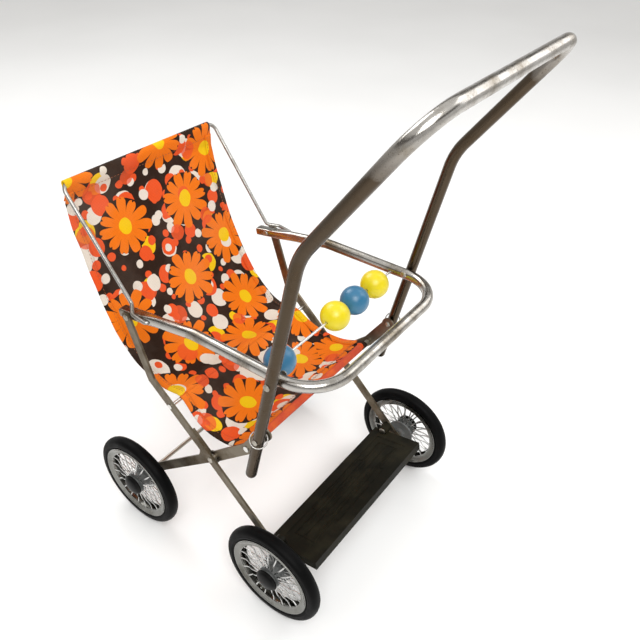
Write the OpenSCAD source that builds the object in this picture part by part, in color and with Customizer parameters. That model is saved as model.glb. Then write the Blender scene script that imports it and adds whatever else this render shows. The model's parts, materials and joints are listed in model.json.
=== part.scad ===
// Folding doll stroller. Y is the direction of travel, with the handle at -Y; Z is up.
// The origin lies on the floor under the middle of the frame. Millimetres.

/* [Wheels] */
// Radius of a wheel over its tyre
wheel_r = 60; // [58:0.5:61]
// Width of a tyre
tyre_w = 14.5; // [12:0.5:14.5]
// Distance from the middle plane to the middle of a wheel
wheel_x = 132; // [132:0.5:135]
// Number of spokes in each of a wheel's two rows
spoke_count = 20; // [12:1:24]
// Thickness of a spoke
spoke_d = 1.8; // [1.4:0.1:2]
// Diameter of both axles
axle_d = 5; // [4:0.5:5]

/* [Tubes and rods] */
// Outer diameter of the handle and bumper tubes
tube_d = 11.4; // [10:0.2:11.4]
// Wall of the tubes
tube_wall = 0.9; // [0.7:0.1:1.2]
// Distance from the middle plane to the axis of a handle tube
handle_x = 117.3; // [117.2:0.1:118]
// Distance from the middle plane to the axis of a bumper tube
bumper_x = 105.5; // [105:0.1:105.6]
// Diameter of the backrest wire
wire_d = 4; // [3:0.5:4]
// Diameter of the cross rod between the legs
cross_rod_d = 4; // [3.5:0.5:4]
// Diameter of the rod that holds the front of the seat
front_rod_d = 4.5; // [4:0.5:5]
// Diameter of the rod that the beads slide on
bead_rod_d = 2.5; // [2:0.1:2.6]

/* [Flat steel] */
// Width of a leg strip
leg_w = 10.5; // [9:0.5:11.5]
// Thickness of a leg strip
leg_t = 2.5; // [2:0.1:2.5]
// Thickness of a rear link plate
link_t = 2; // [1.6:0.1:2]
// Width of a rear link between its two pivots
link_w = 12.2; // [11:0.2:13]
// Width of a rear link behind its pivot
link_tail_w = 11.2; // [10:0.2:12]

/* [Seat and trim] */
// Width of the fabric sling
sling_w = 196; // [180:1:196]
// Thickness of the sling with its turned hems
sling_t = 3; // [2:0.5:3]
// Diameter of a bead
bead_d = 30; // [26:1:30]
// Width of the footrest plate
footrest_w = 212; // [190:1:212]
// Depth of the footrest plate from back to front
footrest_l = 64; // [54:1:66]
// Height of the footrest's rim
footrest_h = 10; // [8:0.5:10]

/* [Hidden] */
$fn = 48;

// Running clearance on the radius of every pin and shaft
run = 0.05;
// A bend is this much thicker than the straight bars that reach into it, and this far they reach
bend_step = 0.02;
bend_lap = 0.2;

// Side view, [y, z]: wheel axles and the four pivots of the folding linkage
front_axle_at = [-85, wheel_r];
rear_axle_at = [120, wheel_r];
handle_bumper = [-77.3, 311];
handle_link = [-60.5, 233];
bumper_leg = [113, 292.5];
leg_link = [12.4, 152.2];
// Side view: rods
front_rod_at = [-35.6, 196.4];
cross_rod_at = [65.2, 198.6];
bead_rod_at = [-60.3, 307.1];
footrest_rivet_at = [-71.7, 72.6];

// Side view: bends of the handle from its lower end up to the grip
handle_low = [-48.7, 179.2];
handle_bend = [-107.3, 448.9];
handle_top = [-196.9, 570.6];
// Side view: bends of the bumper from its rear end to its front
bumper_rear = [127.5, 289.9];
bumper_bend = [25.8, 307.9];
bumper_front = [-121, 309];
// Side view: bend of a leg above the scissor pivot
leg_bend = [89.6, 222.1];
// Side view: top bar of the backrest wire
wire_top = [192.6, 408.4];
wire_x = 104;
wire_outer_x = 113.6;

// Flat pieces, distance from the middle plane to their inner faces
leg_x = 112;
link_x = 107;
rivet_r = 2;
rivet_head_r = 3.4;
rivet_head_t = 1.5;
tube_r = tube_d / 2;
bead_r = bead_d / 2;

// Middles of the beads along their rod, from the middle plane
bead_places = [70.6, 33.9, 0.5, -84.3];

// Sling, side view, [y, z]: down the back to the cross rod
back_line = [
    [192, 404.5], [201, 378], [195, 352], [189, 328], [182, 303], [170, 282], [159, 254], [140, 228],
    [106, 210]
];
// On over the cross rod, then forward below the doll
base_line = [[100, 208.5], [82, 204.2], [64, 202.8], [45, 188], [28, 173.5], [14, 168.5]];
front_line = [[2, 170.5], [-14, 178.5], [-30, 191]];

// Wheel, radii and places along the axle from the wheel's middle plane
tyre_in_r = 48.5;
rim_in_r = 40.5;
flange_r = 13;
hub_in = -13.4;
hub_out = 9;
cap_r = 13;
cap_h = 6;
axle_half = wheel_x + hub_out + 3;

// ---- Helpers ----

function unit(v) = v / norm(v);
function left_of(v) = [-v[1], v[0]];
function yz(x, p) = [x, p[0], p[1]];

// Offset of a line's point i to its left by h, mitred at bends
function edge_point(p, i, h) =
    let (a = unit(p[max(i, 1)] - p[max(i, 1) - 1]),
         b = unit(p[min(i + 1, len(p) - 1)] - p[min(i + 1, len(p) - 1) - 1]),
         m = unit(left_of(a) + left_of(b)))
    p[i] + m * h / (m * left_of(a));

// Strip of constant width along a line
module strip(p, w) {
    n = len(p);
    polygon(concat(
        [for (i = [0:n - 1]) edge_point(p, i, w / 2)],
        [for (i = [n - 1:-1:0]) edge_point(p, i, -w / 2)]
    ));
}

// Turns a [y, z] outline into a plate that reaches from x to x + t
module plate(x, t) {
    translate([x, 0, 0])
    multmatrix([[0, 0, 1, 0], [1, 0, 0, 0], [0, 1, 0, 0]])
    linear_extrude(height = t) children();
}

// Round bar along X from x1 to x2 about the side-view point p
module bar_x(p, r, x1, x2) {
    translate([x1, p[0], p[1]]) rotate([0, 90, 0]) cylinder(r = r, h = x2 - x1);
}

module pipe_x(p, r, bore, x1, x2) {
    difference() {
        bar_x(p, r, x1, x2);
        bar_x(p, bore, x1 - 1, x2 + 1);
    }
}

// Both sides of the stroller
module both_sides() {
    children();
    mirror([1, 0, 0]) children();
}

// Straight bar between two points
module straight(a, b, r) {
    v = b - a;
    translate(a)
    rotate([0, acos(v[2] / norm(v)), atan2(v[1], v[0])])
    cylinder(r = r, h = norm(v));
}

// Angle that a line turns through at point i, and the length a bend takes on each side of it
function turn_at(p, i) = acos(unit(p[i] - p[i - 1]) * unit(p[i + 1] - p[i]));
function trim_at(p, i, bends) =
    (i == 0 || i == len(p) - 1) ? 0 : bends[i - 1] * tan(turn_at(p, i) / 2);

module bend_at(p, i, bend, r) {
    u = unit(p[i] - p[i - 1]);
    v = unit(p[i + 1] - p[i]);
    n = unit(cross(u, v));
    out = -cross(n, u);
    c = p[i] - u * bend * tan(turn_at(p, i) / 2) - out * bend;
    multmatrix([
        [out[0], u[0], n[0], c[0]],
        [out[1], u[1], n[1], c[1]],
        [out[2], u[2], n[2], c[2]]
    ])
    rotate_extrude(angle = turn_at(p, i), $fn = 96)
    translate([bend, 0]) circle(r = r + bend_step, $fn = 48);
}

// Round bar along a line, with one bend radius for each inner point
module bent_bar(p, bends, r) {
    for (i = [0:len(p) - 2])
        straight(
            p[i] + unit(p[i + 1] - p[i]) * max(trim_at(p, i, bends) - bend_lap, 0),
            p[i + 1] - unit(p[i + 1] - p[i]) * max(trim_at(p, i + 1, bends) - bend_lap, 0),
            r
        );
    for (i = [1:len(p) - 2]) bend_at(p, i, bends[i - 1], r);
}

// A line with its two ends moved outwards by e
function longer(p, e) = [for (i = [0:len(p) - 1])
    i == 0 ? p[0] - unit(p[1] - p[0]) * e :
    i == len(p) - 1 ? p[i] + unit(p[i] - p[i - 1]) * e : p[i]];

module bent_tube(p, bends, r, wall) {
    difference() {
        bent_bar(p, bends, r);
        bent_bar(longer(p, 1), bends, r - wall);
    }
}

// Rivet along X with a head at each end
module rivet(p, x1, x2, r = rivet_head_r) {
    bar_x(p, rivet_r, x1, x2);
    bar_x(p, r, x1 - rivet_head_t, x1);
    bar_x(p, r, x2, x2 + rivet_head_t);
}

// ---- Frame on the floor: legs, front axle, footrest ----

module leg() {
    color("darkgray")
    difference() {
        union() {
            plate(leg_x, leg_t) strip([bumper_leg, leg_bend, leg_link, front_axle_at], leg_w);
            for (p = [bumper_leg, front_axle_at]) bar_x(p, leg_w / 2 + 0.8, leg_x, leg_x + leg_t);
        }
        for (p = [bumper_leg, leg_link, footrest_rivet_at])
            bar_x(p, rivet_r + run, leg_x - 1, leg_x + leg_t + 1);
        bar_x(front_axle_at, axle_d / 2 + run, leg_x - 1, leg_x + leg_t + 1);
        bar_x(cross_rod_at, cross_rod_d / 2 + run, leg_x - 1, leg_x + leg_t + 1);
    }
}

module leg_right() { leg(); }
module leg_left() { mirror([1, 0, 0]) leg(); }

module seat_cross_rod() {
    color("silver") {
        bar_x(cross_rod_at, cross_rod_d / 2, -leg_x - leg_t - 0.1, leg_x + leg_t + 0.1);
        both_sides() bar_x(cross_rod_at, cross_rod_d / 2 + 0.9, leg_x + leg_t + 0.1, leg_x + leg_t + 1);
    }
}

module front_axle() {
    color("silver") bar_x(front_axle_at, axle_d / 2, -axle_half, axle_half);
}

module rear_axle() {
    color("silver") bar_x(rear_axle_at, axle_d / 2, -axle_half, axle_half);
}

// Middle of the footrest's top face in the side view, and its tilt with the front edge up
footrest_at = [-89.5, 73];
footrest_tilt = 10.8;
footrest_wall = 2.5;
// Ear that the footrest is riveted through, and how far it reaches in from the plate's end
ear_r = 6;
ear_l = 6;
footrest_head_r = 4.2;
// Panel sunk into the top, and the long grooves in it: margins at the ends and sides, depths
panel_end = 14;
panel_side = 12;
panel_deep = 0.6;
groove_end = 24;
groove_w = 2;
groove_pitch = 11;
groove_deep = 1.2;

// Block of the footrest's outline less a margin at its ends and sides, between two heights
module footrest_block(ends, sides, low, high) {
    translate([-footrest_w / 2 + ends, -footrest_l / 2 + sides, low])
        cube([footrest_w - 2 * ends, footrest_l - 2 * sides, high - low]);
}

module footrest() {
    ear_in = footrest_w / 2 - ear_l;
    color([0.13, 0.11, 0.1])
    difference() {
        union() {
            translate(yz(0, footrest_at)) rotate([-footrest_tilt, 0, 0])
            difference() {
                footrest_block(0, 0, -footrest_h, 0);
                footrest_block(footrest_wall, footrest_wall, -footrest_h - 1, -footrest_wall);
                footrest_block(panel_end, panel_side, -panel_deep, 1);
                for (k = [-1:1])
                    translate([0, k * groove_pitch, 0])
                        footrest_block(groove_end, (footrest_l - groove_w) / 2, -groove_deep, 1);
            }
            both_sides() bar_x(footrest_rivet_at, ear_r, ear_in, leg_x - 0.1);
        }
        both_sides() {
            bar_x(footrest_rivet_at, rivet_r + run, ear_in - 1, leg_x + 1);
            // Room for the rivet's inner head
            bar_x(footrest_rivet_at, footrest_head_r + 0.3, ear_in - rivet_head_t - 0.5, ear_in);
        }
        bar_x(front_axle_at, axle_d / 2 + run, -footrest_w, footrest_w);
    }
}

module footrest_rivets() {
    color("silver") both_sides()
        rivet(footrest_rivet_at, footrest_w / 2 - ear_l - 0.1, leg_x + leg_t + 0.1, footrest_head_r);
}

// ---- Rear links: the other half of the scissors ----

// Web in the corner above the scissor pivot: its reach down the tail and up along the leg
web_tail = 56;
web_up = 46;
web_edge = 4;
// Hollow curve of the web's free edge
web_curve_at = [66, 153];
web_curve_r = 33;
// Notch that keeps the web's tip clear of the seat's cross rod
web_tip_r = 9;

module link_web() {
    d = unit(rear_axle_at - leg_link);
    u = unit(leg_bend - leg_link);
    tail = leg_link + d * web_tail;
    tip = leg_link + u * web_up;
    difference() {
        polygon([leg_link, tail, tail + left_of(d) * web_edge, tip]);
        translate(web_curve_at) circle(r = web_curve_r);
        translate(tip) circle(r = web_tip_r);
    }
}

// Round ends of a link at the rear axle, the scissor pivot and the handle pivot
link_axle_r = 6.6;
link_scissor_r = 7.4;
link_nose_r = 7.5;

module rear_link() {
    color("darkgray")
    difference() {
        union() {
            plate(link_x, link_t) strip([rear_axle_at, leg_link], link_tail_w);
            plate(link_x, link_t) strip([leg_link, front_rod_at, handle_link], link_w);
            plate(link_x, link_t) link_web();
            bar_x(rear_axle_at, link_axle_r, link_x, link_x + link_t);
            bar_x(leg_link, link_scissor_r, link_x, link_x + link_t);
            bar_x(handle_link, link_nose_r, link_x, link_x + link_t);
        }
        for (p = [handle_link, leg_link])
            bar_x(p, rivet_r + run, link_x - 1, link_x + link_t + 1);
        bar_x(rear_axle_at, axle_d / 2 + run, link_x - 1, link_x + link_t + 1);
        bar_x(front_rod_at, front_rod_d / 2 + run, link_x - 1, link_x + link_t + 1);
    }
}

module rear_link_right() { rear_link(); }
module rear_link_left() { mirror([1, 0, 0]) rear_link(); }

module scissor_rivets() {
    color("silver") both_sides() rivet(leg_link, link_x - 0.1, leg_x + leg_t + 0.1);
}

washer_r = 4.5;

module scissor_spacers() {
    color("gray") both_sides()
        pipe_x(leg_link, washer_r, rivet_r + run, link_x + link_t, leg_x - 0.1);
}

module seat_front_rod() {
    color("gainsboro") {
        bar_x(front_rod_at, front_rod_d / 2, -link_x - link_t - 0.1, link_x + link_t + 0.1);
        both_sides()
            bar_x(front_rod_at, front_rod_d / 2 + 1, link_x + link_t + 0.1, link_x + link_t + 1);
    }
}

// ---- Armrest: bumper tube, backrest wire, bead rod ----

bumper_line = [
    yz(bumper_x, bumper_rear), yz(bumper_x, bumper_bend), yz(bumper_x, bumper_front),
    yz(-bumper_x, bumper_front), yz(-bumper_x, bumper_bend), yz(-bumper_x, bumper_rear)
];
bumper_bends = [60, 42, 42, 60];
// Wire, from its hooked end in the bumper, past the rivet, up the back and across the top
wire_hook_at = [84, 297.6];
wire_end_x = 106.5;
wire_cross_at = [103, 300.2];
wire_foot_at = [114.3, 303];
wire_half = [
    yz(wire_end_x, wire_hook_at), yz(wire_outer_x, wire_hook_at), yz(wire_outer_x, wire_cross_at),
    yz(wire_x, wire_foot_at), yz(wire_x, wire_top)
];
wire_bends = [3.5, 6, 6, 9, 9, 6, 6, 3.5];

module bumper_bar() {
    color("silver")
    difference() {
        bent_tube(bumper_line, bumper_bends, tube_r, tube_wall);
        both_sides() {
            for (p = [bumper_leg, handle_bumper])
                bar_x(p, rivet_r + run, bumper_x - 10, bumper_x + 10);
            bar_x(bead_rod_at, bead_rod_d / 2 + run, bumper_x - 10, bumper_x);
            bar_x(wire_hook_at, wire_d / 2 + run, bumper_x, bumper_x + 10);
        }
    }
}

module backrest_wire() {
    other_half = [for (i = [len(wire_half) - 1:-1:0]) [-wire_half[i][0], wire_half[i][1], wire_half[i][2]]];
    color("silver") bent_bar(concat(wire_half, other_half), wire_bends, wire_d / 2);
}

module bead_rod() {
    color("gainsboro") bar_x(bead_rod_at, bead_rod_d / 2, -bumper_x - 1.5, bumper_x + 1.5);
}

module arm_pivot_rivets() {
    color("silver") both_sides()
        rivet(bumper_leg, bumper_x - tube_r - 0.1, leg_x + leg_t + 0.1);
}

module arm_washers() {
    color("gray") both_sides()
        pipe_x(bumper_leg, washer_r, rivet_r + run, bumper_x + tube_r + 0.05, leg_x - 0.05);
}

// Inner half of the rivet between bumper and handle
module bumper_rivets() {
    color("silver") both_sides() {
        bar_x(handle_bumper, rivet_r, bumper_x - tube_r - 0.1, bumper_x + tube_r);
        bar_x(handle_bumper, rivet_head_r, bumper_x - tube_r - 0.1 - rivet_head_t, bumper_x - tube_r - 0.1);
    }
}

// ---- Beads on the rod ----

module bead(i, tint) {
    color(tint)
    difference() {
        translate(yz(bead_places[i], bead_rod_at)) sphere(r = bead_r, $fn = 64);
        bar_x(bead_rod_at, bead_rod_d / 2 + run, bead_places[i] - bead_r - 1, bead_places[i] + bead_r + 1);
    }
}

module bead_yellow_outer() { bead(0, "gold"); }
module bead_blue_inner() { bead(1, "steelblue"); }
module bead_yellow_middle() { bead(2, "gold"); }
module bead_blue_outer() { bead(3, "steelblue"); }

// ---- Handle ----

handle_line = [
    yz(handle_x, handle_low), yz(handle_x, handle_bend), yz(handle_x, handle_top),
    yz(-handle_x, handle_top), yz(-handle_x, handle_bend), yz(-handle_x, handle_low)
];

handle_bends = [70, 34, 34, 70];

module handle_tube() {
    color("silver")
    difference() {
        bent_tube(handle_line, handle_bends, tube_r, tube_wall);
        both_sides() for (p = [handle_link, handle_bumper])
            bar_x(p, rivet_r + run, handle_x - 10, handle_x + 10);
    }
}

// Domed plugs that close the tube's two lower ends
module handle_end_caps() {
    v = handle_low - handle_bend;
    plug_l = 8;
    color("darkgray") both_sides()
        translate(yz(handle_x, handle_low))
        rotate([atan2(v[1], v[0]) - 90, 0, 0])
        rotate_extrude() {
            translate([0, -plug_l]) square([tube_r - tube_wall - 0.1, plug_l + 0.2]);
            translate([0, 0.1]) intersection() {
                circle(r = tube_r);
                square([tube_r, tube_r]);
            }
        }
}

// The heads and spacers here are small, so that the lock rings pass over them
pivot_head_r = 3;
pivot_spacer_r = 2.9;

module handle_pivot_rivets() {
    color("silver") both_sides() rivet(handle_link, link_x - 0.1, handle_x + tube_r + 0.1, pivot_head_r);
}

module handle_spacers() {
    color("gray") both_sides()
        pipe_x(handle_link, pivot_spacer_r, rivet_r + run, link_x + link_t + 0.05, handle_x - tube_r - 0.05);
}

// Outer half of the rivet between bumper and handle
module handle_rivets() {
    color("silver") both_sides() {
        bar_x(handle_bumper, rivet_r, handle_x - tube_r + 0.2, handle_x + tube_r + 0.1);
        bar_x(handle_bumper, rivet_head_r, handle_x + tube_r + 0.1, handle_x + tube_r + 0.1 + rivet_head_t);
    }
}

ring_wire_d = 1.4;
ring_r = 8.5;
// A ring leans 33 degrees out of square to its tube, its low side to -X and to -Y
ring_lean = 33;
ring_turn = -60;
// Its middle lies this far outside the tube's axis, so that it clears the link plate
ring_shift = 0.2;
module lock_ring(x) {
    v = handle_bend - handle_low;
    color("gainsboro")
    translate(yz(x, handle_link))
    rotate([atan2(v[1], v[0]) - 90, 0, 0])
    rotate([0, 0, ring_turn])
    rotate([ring_lean, 0, 0])
    rotate_extrude(angle = 360) translate([ring_r, 0]) circle(r = ring_wire_d / 2, $fn = 24);
}

module lock_ring_left() { lock_ring(-handle_x - ring_shift); }
module lock_ring_right() { lock_ring(handle_x + ring_shift); }

// ---- Sling seat, one plain solid for each body it lies on ----

module sling(line) {
    color("chocolate") plate(-sling_w / 2, sling_w) strip(line, sling_t);
}

module seat_back() { sling(back_line); }
module seat_base() { sling(base_line); }
module seat_front() { sling(front_line); }

// ---- Wheels ----

// Places a wheel part, drawn with its axle along +Z outwards
module on_axle(side, p) {
    translate(yz(side * wheel_x, p)) rotate([0, side * 90, 0]) children();
}

module tyre(side, p) {
    shoulder = 6;
    edge = 1.2;
    color([0.09, 0.09, 0.09]) on_axle(side, p)
    rotate_extrude($fn = 96) polygon(concat(
        [[tyre_in_r, tyre_w / 2 - edge], [tyre_in_r, edge - tyre_w / 2]],
        [for (t = [-90:15:90]) [wheel_r - shoulder + shoulder * cos(t), tyre_w / 2 * sin(t)]]
    ));
}

// Half width of the rim at the tyre's seat and at its inner edge, and the thickness of its sheet
rim_seat = 6.5;
rim_lip = 4.5;
rim_wall = 1.5;

module rim(side, p) {
    edge_r = tyre_in_r - run;
    half = [
        [edge_r, rim_seat], [rim_in_r, rim_lip], [rim_in_r, rim_lip - rim_wall * 0.8],
        [edge_r - rim_wall, rim_seat - rim_wall]
    ];
    color("silver") on_axle(side, p)
    rotate_extrude($fn = 96)
        polygon(concat(half, [for (i = [3:-1:0]) [half[i][0], -half[i][1]]]));
}

// The two rows of spokes lie this far from the wheel's middle plane
spoke_row = 4;

module spokes(side, p) {
    color("silver") on_axle(side, p)
    for (row = [0, 1], k = [0:spoke_count - 1])
        rotate([0, 0, (k + row / 2) * 360 / spoke_count])
        translate([flange_r + run, 0, row == 0 ? spoke_row : -spoke_row])
        rotate([0, 90, 0]) cylinder(d = spoke_d, h = rim_in_r - flange_r - 2 * run, $fn = 16);
}

// Hub: barrel, the two flanges that hold the spokes, and a wider guard flange on the inner side
barrel_r = 8;
flange_t = 2.4;
guard_r = 17;
guard_t = 1.5;

module flange(r, z1, z2) {
    translate([0, 0, z1]) cylinder(r = r, h = z2 - z1);
}

module hub(side, p) {
    color("dimgray") on_axle(side, p)
    difference() {
        union() {
            flange(barrel_r, hub_in, hub_out);
            for (z = [-spoke_row, spoke_row]) flange(flange_r, z - flange_t / 2, z + flange_t / 2);
            flange(guard_r, hub_in + 5, hub_in + 5 + guard_t);
        }
        flange(axle_d / 2 + run, hub_in - 1, hub_out + 1);
    }
}

module hub_cap(side, p) {
    skirt = 1.2;
    socket = 3.5;
    color([0.08, 0.08, 0.08]) on_axle(side, p)
    difference() {
        rotate_extrude() polygon(concat(
            [[0, hub_out + 0.2], [cap_r - 1, hub_out + 0.2]],
            [for (t = [0:15:90]) [cap_r * cos(t), hub_out + skirt + cap_h * sin(t)]]
        ));
        flange(axle_d / 2 + run, hub_out, hub_out + socket);
    }
}

module hub_caps_front() { for (s = [-1, 1]) hub_cap(s, front_axle_at); }
module hub_caps_rear() { for (s = [-1, 1]) hub_cap(s, rear_axle_at); }

axle_spacer_r = 4.4;

module axle_spacers_front() {
    color("gray") both_sides()
        pipe_x(front_axle_at, axle_spacer_r, axle_d / 2 + run, leg_x + leg_t + 0.05, wheel_x + hub_in - 0.1);
}

module axle_spacers_rear() {
    color("gray") both_sides()
        pipe_x(rear_axle_at, axle_spacer_r, axle_d / 2 + run, link_x + link_t + 0.05, wheel_x + hub_in - 0.1);
}

module tyre_front_left() { tyre(-1, front_axle_at); }
module tyre_front_right() { tyre(1, front_axle_at); }
module tyre_rear_left() { tyre(-1, rear_axle_at); }
module tyre_rear_right() { tyre(1, rear_axle_at); }
module rim_front_left() { rim(-1, front_axle_at); }
module rim_front_right() { rim(1, front_axle_at); }
module rim_rear_left() { rim(-1, rear_axle_at); }
module rim_rear_right() { rim(1, rear_axle_at); }
module spokes_front_left() { spokes(-1, front_axle_at); }
module spokes_front_right() { spokes(1, front_axle_at); }
module spokes_rear_left() { spokes(-1, rear_axle_at); }
module spokes_rear_right() { spokes(1, rear_axle_at); }
module hub_front_left() { hub(-1, front_axle_at); }
module hub_front_right() { hub(1, front_axle_at); }
module hub_rear_left() { hub(-1, rear_axle_at); }
module hub_rear_right() { hub(1, rear_axle_at); }

leg_left();
leg_right();
seat_cross_rod();
front_axle();
rear_axle();
footrest();
footrest_rivets();
rear_link_left();
rear_link_right();
scissor_rivets();
scissor_spacers();
seat_front_rod();
bumper_bar();
backrest_wire();
bead_rod();
arm_pivot_rivets();
arm_washers();
bumper_rivets();
handle_tube();
handle_end_caps();
handle_rivets();
handle_pivot_rivets();
handle_spacers();
lock_ring_left();
lock_ring_right();
bead_yellow_outer();
bead_blue_inner();
bead_yellow_middle();
bead_blue_outer();
seat_back();
seat_base();
seat_front();
axle_spacers_front();
axle_spacers_rear();
hub_caps_front();
hub_caps_rear();
tyre_front_left();
rim_front_left();
spokes_front_left();
hub_front_left();
tyre_front_right();
rim_front_right();
spokes_front_right();
hub_front_right();
tyre_rear_left();
rim_rear_left();
spokes_rear_left();
hub_rear_left();
tyre_rear_right();
rim_rear_right();
spokes_rear_right();
hub_rear_right();
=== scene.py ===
"""Looks of the folding doll stroller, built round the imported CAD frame.

Metres, Z up, +Y the way it travels.
"""
import json
import math

import bmesh
import bpy
import numpy as np
from mathutils import Matrix, Vector
from mathutils import noise as mathnoise

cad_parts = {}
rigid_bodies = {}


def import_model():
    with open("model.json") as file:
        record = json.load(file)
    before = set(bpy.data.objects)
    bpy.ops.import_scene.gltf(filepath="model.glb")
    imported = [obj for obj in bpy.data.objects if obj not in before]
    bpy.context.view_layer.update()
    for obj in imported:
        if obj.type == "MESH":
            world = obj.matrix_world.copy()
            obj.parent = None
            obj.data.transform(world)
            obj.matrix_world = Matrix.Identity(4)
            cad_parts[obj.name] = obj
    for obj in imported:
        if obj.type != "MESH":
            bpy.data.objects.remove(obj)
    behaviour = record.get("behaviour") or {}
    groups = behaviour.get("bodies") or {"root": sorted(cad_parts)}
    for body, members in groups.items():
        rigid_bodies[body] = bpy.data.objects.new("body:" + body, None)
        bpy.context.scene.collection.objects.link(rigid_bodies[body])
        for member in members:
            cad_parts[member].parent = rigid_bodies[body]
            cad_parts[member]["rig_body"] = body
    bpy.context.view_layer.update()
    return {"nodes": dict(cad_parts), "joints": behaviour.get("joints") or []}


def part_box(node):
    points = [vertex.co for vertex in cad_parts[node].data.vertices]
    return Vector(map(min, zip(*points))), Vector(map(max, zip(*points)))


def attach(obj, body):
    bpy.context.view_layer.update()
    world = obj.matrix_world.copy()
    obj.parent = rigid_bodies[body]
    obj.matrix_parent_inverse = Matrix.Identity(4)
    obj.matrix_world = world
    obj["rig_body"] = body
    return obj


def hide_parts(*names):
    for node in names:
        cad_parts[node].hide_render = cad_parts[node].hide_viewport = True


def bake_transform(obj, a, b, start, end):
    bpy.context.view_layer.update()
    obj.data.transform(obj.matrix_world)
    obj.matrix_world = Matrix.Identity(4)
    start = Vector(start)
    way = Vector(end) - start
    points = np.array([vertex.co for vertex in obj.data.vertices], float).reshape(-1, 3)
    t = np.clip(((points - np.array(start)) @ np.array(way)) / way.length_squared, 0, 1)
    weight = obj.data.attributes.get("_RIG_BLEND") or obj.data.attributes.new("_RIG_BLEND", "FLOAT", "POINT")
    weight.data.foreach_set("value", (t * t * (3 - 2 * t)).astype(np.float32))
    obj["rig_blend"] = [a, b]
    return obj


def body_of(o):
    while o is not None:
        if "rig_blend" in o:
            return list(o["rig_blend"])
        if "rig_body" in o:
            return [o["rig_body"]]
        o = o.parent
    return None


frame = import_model()
nodes = frame["nodes"]
MM = 0.001
SIDES = ("left", "right")


def middle(node):
    """The middle of a CAD node's box."""
    low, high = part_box(node)
    return (low + high) / 2


# ---- Places taken from the frame, in millimetres ----

JOINTS = {j["name"]: j for j in frame["joints"]}


def pivot(joint):
    """A joint's place in the side view, (y, z)."""
    p = JOINTS[joint]["pos_m"]
    return Vector((p[1] / MM, p[2] / MM))


FRONT_AXLE = pivot("wheel_front_left_spin")
REAR_AXLE = pivot("wheel_rear_left_spin")
WHEEL_X = abs(JOINTS["wheel_front_left_spin"]["pos_m"][0]) / MM
FRONT_ROD = Vector(middle("seat_front_rod")[1:]) / MM
CROSS_ROD = Vector(middle("seat_cross_rod")[1:]) / MM
BEAD_ROD = Vector(middle("bead_rod")[1:]) / MM

# Bends of the tubes in the side view, as the frame has them
HANDLE_LOW = Vector((-48.7, 179.2))
HANDLE_BEND = Vector((-107.3, 448.9))
HANDLE_TOP = Vector((-196.9, 570.6))
BUMPER_REAR = Vector((127.5, 289.9))
BUMPER_BEND = Vector((25.8, 307.9))
BUMPER_FRONT = Vector((-121, 309))
WIRE_TOP = Vector((192.6, 408.4))
WIRE_HOOK = Vector((84, 297.6))
HANDLE_X = 117.3
BUMPER_X = 105.5
WIRE_X = 104
WIRE_OUTER_X = 113.6
# Radii of the bends, from one end of the tube or wire to the other
HANDLE_BENDS = (70, 34, 34, 70)
BUMPER_BENDS = (60, 42, 42, 60)
WIRE_BENDS = (3.5, 6, 6, 9, 9, 6, 6, 3.5)
# The footrest's top face, its tilt in degrees, and the ribs on its sunken panel
FOOTREST_AT = Vector((-89.5, 73))
FOOTREST_TILT = 10.8
PANEL_DEEP = 0.6
RIB_W = 1.3
TUBE_R = 5.7
WIRE_R = 2


def at(x, p):
    return Vector((x, p[0], p[1]))


# ---- Mesh helpers; they all take millimetres ----


def link_new(name, data):
    """A new object in the scene."""
    obj = bpy.data.objects.new(name, data)
    bpy.context.scene.collection.objects.link(obj)
    return obj


def stand_in(obj, body, node):
    """Lets a new piece ride on a body in place of a CAD node, which it hides."""
    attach(obj, body)
    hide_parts(node)


def add_object(name, verts, faces, material, smooth=True):
    mesh = bpy.data.meshes.new(name)
    mesh.from_pydata([tuple(np.asarray(v, float) * MM) for v in verts], [], faces)
    mesh.validate()
    mesh.materials.append(material)
    if smooth:
        mesh.polygons.foreach_set("use_smooth", [True] * len(mesh.polygons))
    return link_new(name, mesh)


def sharpen(obj, degrees=35):
    """Marks edges sharper than that, so that smooth shading breaks there."""
    bm = bmesh.new()
    bm.from_mesh(obj.data)
    bmesh.ops.recalc_face_normals(bm, faces=bm.faces)
    for e in bm.edges:
        if len(e.link_faces) == 2 and e.calc_face_angle() > math.radians(degrees):
            e.smooth = False
    bm.to_mesh(obj.data)
    bm.free()
    return obj


def bevel(obj, width=0.4, segments=2, degrees=30):
    mod = obj.modifiers.new("bevel", "BEVEL")
    mod.width = width * MM
    mod.segments = segments
    mod.limit_method = "ANGLE"
    mod.angle_limit = math.radians(degrees)
    mod.harden_normals = False
    return obj


def bent_path(points, bends, step=3.0):
    """Points along a line whose inner corners are arcs of the given radii."""
    out = [points[0]]
    for i, radius in enumerate(bends, 1):
        a = (points[i] - points[i - 1]).normalized()
        b = (points[i + 1] - points[i]).normalized()
        turn = a.angle(b)
        reach = radius * math.tan(turn / 2)
        axis = a.cross(b).normalized()
        inward = axis.cross(a)
        start = points[i] - a * reach
        count = max(4, math.ceil(radius * turn / step))
        for k in range(count + 1):
            t = turn * k / count
            out.append(start + a * radius * math.sin(t) + inward * radius * (1 - math.cos(t)))
    out.append(points[-1])
    return out


def densify(path, step):
    """The same line with points at most a step apart."""
    out = [path[0]]
    for a, b in zip(path, path[1:]):
        count = max(1, math.ceil((b - a).length / step))
        out += [a.lerp(b, k / count) for k in range(1, count + 1)]
    return out


def tube_faces(rings, sides, base=0):
    """Quads between rings of points, and a flat cap at each end."""
    faces = []
    for low in range(base, base + (rings - 1) * sides, sides):
        for k in range(sides):
            m = (k + 1) % sides
            faces.append((low + k, low + m, low + sides + m, low + sides + k))
    faces.append(tuple(base + k for k in range(sides))[::-1])
    faces.append(tuple(base + (rings - 1) * sides + k for k in range(sides)))
    return faces


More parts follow.
